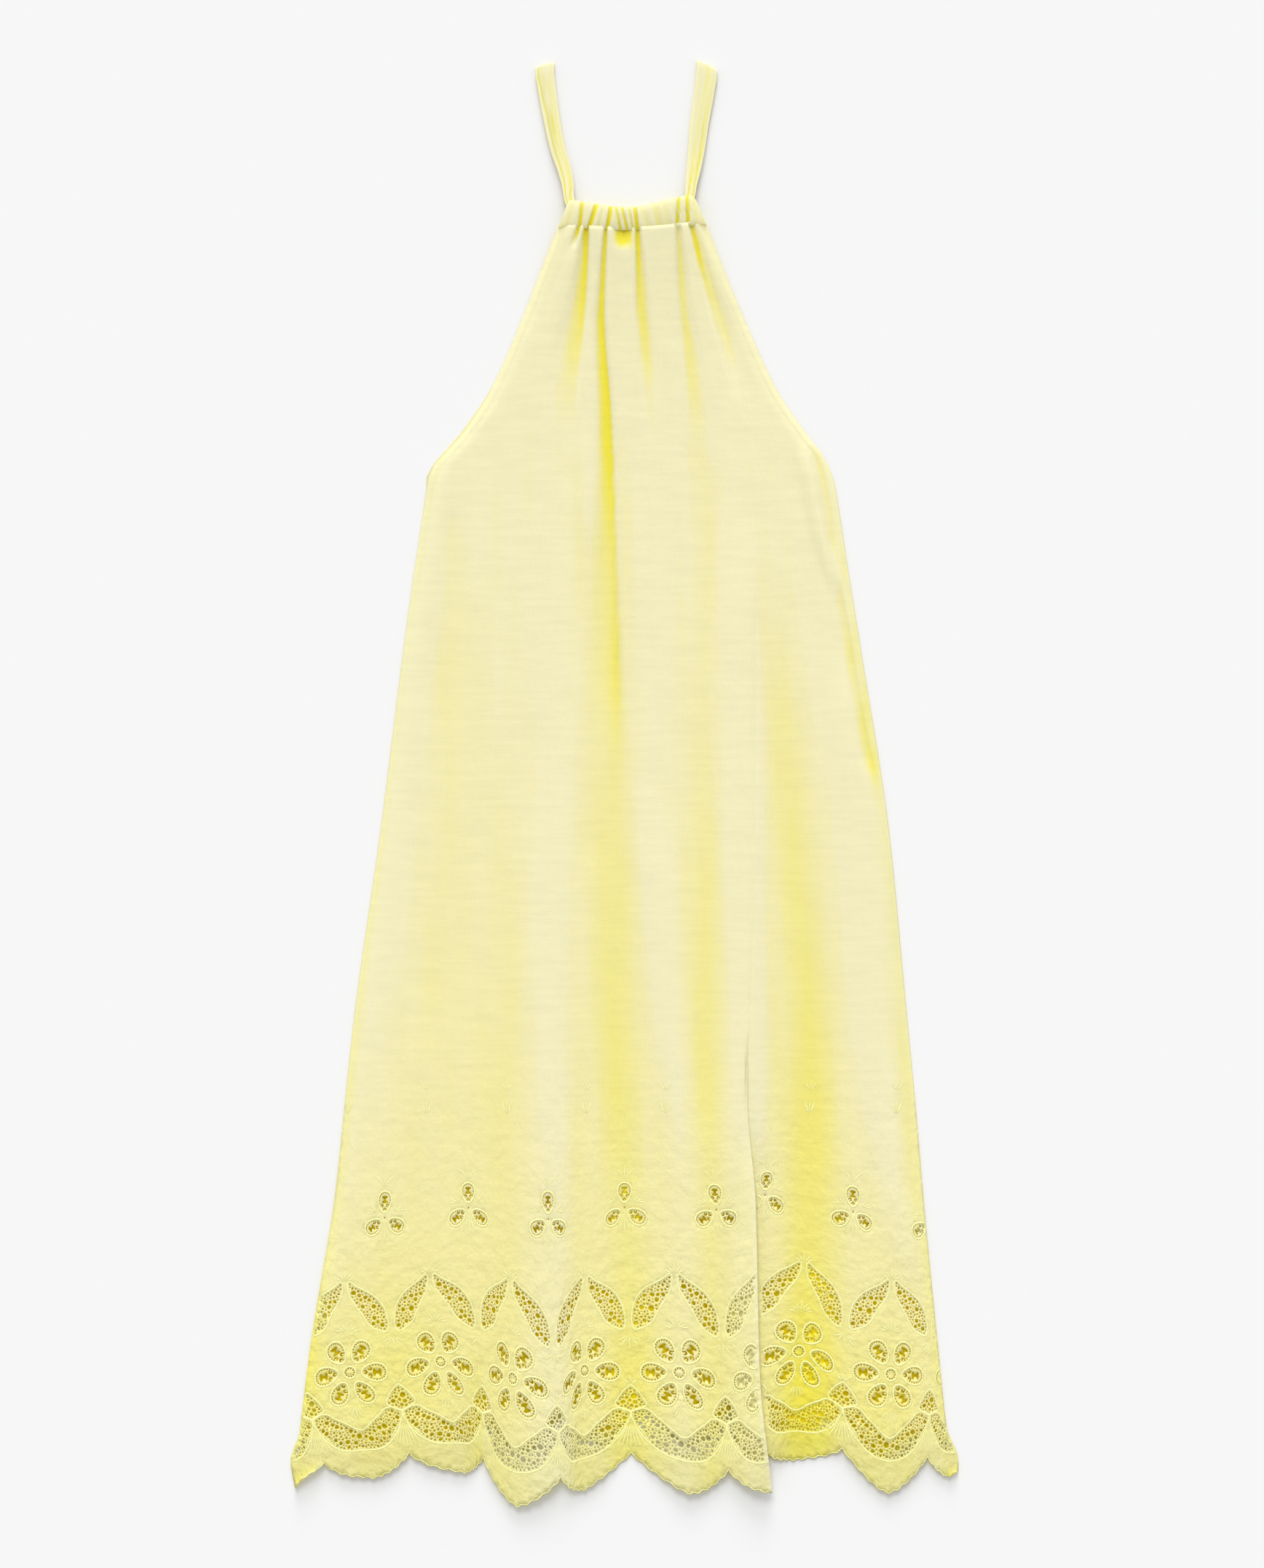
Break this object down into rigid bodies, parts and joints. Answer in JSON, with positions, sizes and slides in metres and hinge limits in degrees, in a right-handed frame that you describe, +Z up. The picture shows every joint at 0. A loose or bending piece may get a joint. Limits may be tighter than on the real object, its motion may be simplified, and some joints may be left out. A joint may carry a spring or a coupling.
{
  "type": "sundress",
  "caption": "Halter sundress laid flat: A-line panels with lengthwise folds, gathered neck casing, folded straps and a scalloped cutwork hem.",
  "frame": {"origin": "middle of the footprint, on the surface that the dress lies on", "axes": "+Y along the dress towards the neck, +X to the right of someone looking down at the front, +Z up"},
  "size_m": [0.6632, 1.4447, 0.0147],
  "materials": {
    "panel_cloth": "matt pale yellow cotton and linen weave with a fine slub",
    "casing_cloth": "the panels' own cloth, gathered",
    "strap_cloth": "the panels' own cloth as a soft pressed tube",
    "embroidery_thread": "satin stitch in a thread of the cloth's colour, slightly shiny"
  },
  "bodies": {
    "root": {"front_panel": "panel_cloth", "back_panel": "panel_cloth", "front_casing": "casing_cloth", "back_casing": "casing_cloth", "strap_left": "strap_cloth", "strap_right": "strap_cloth"}
  },
  "joints": []
}
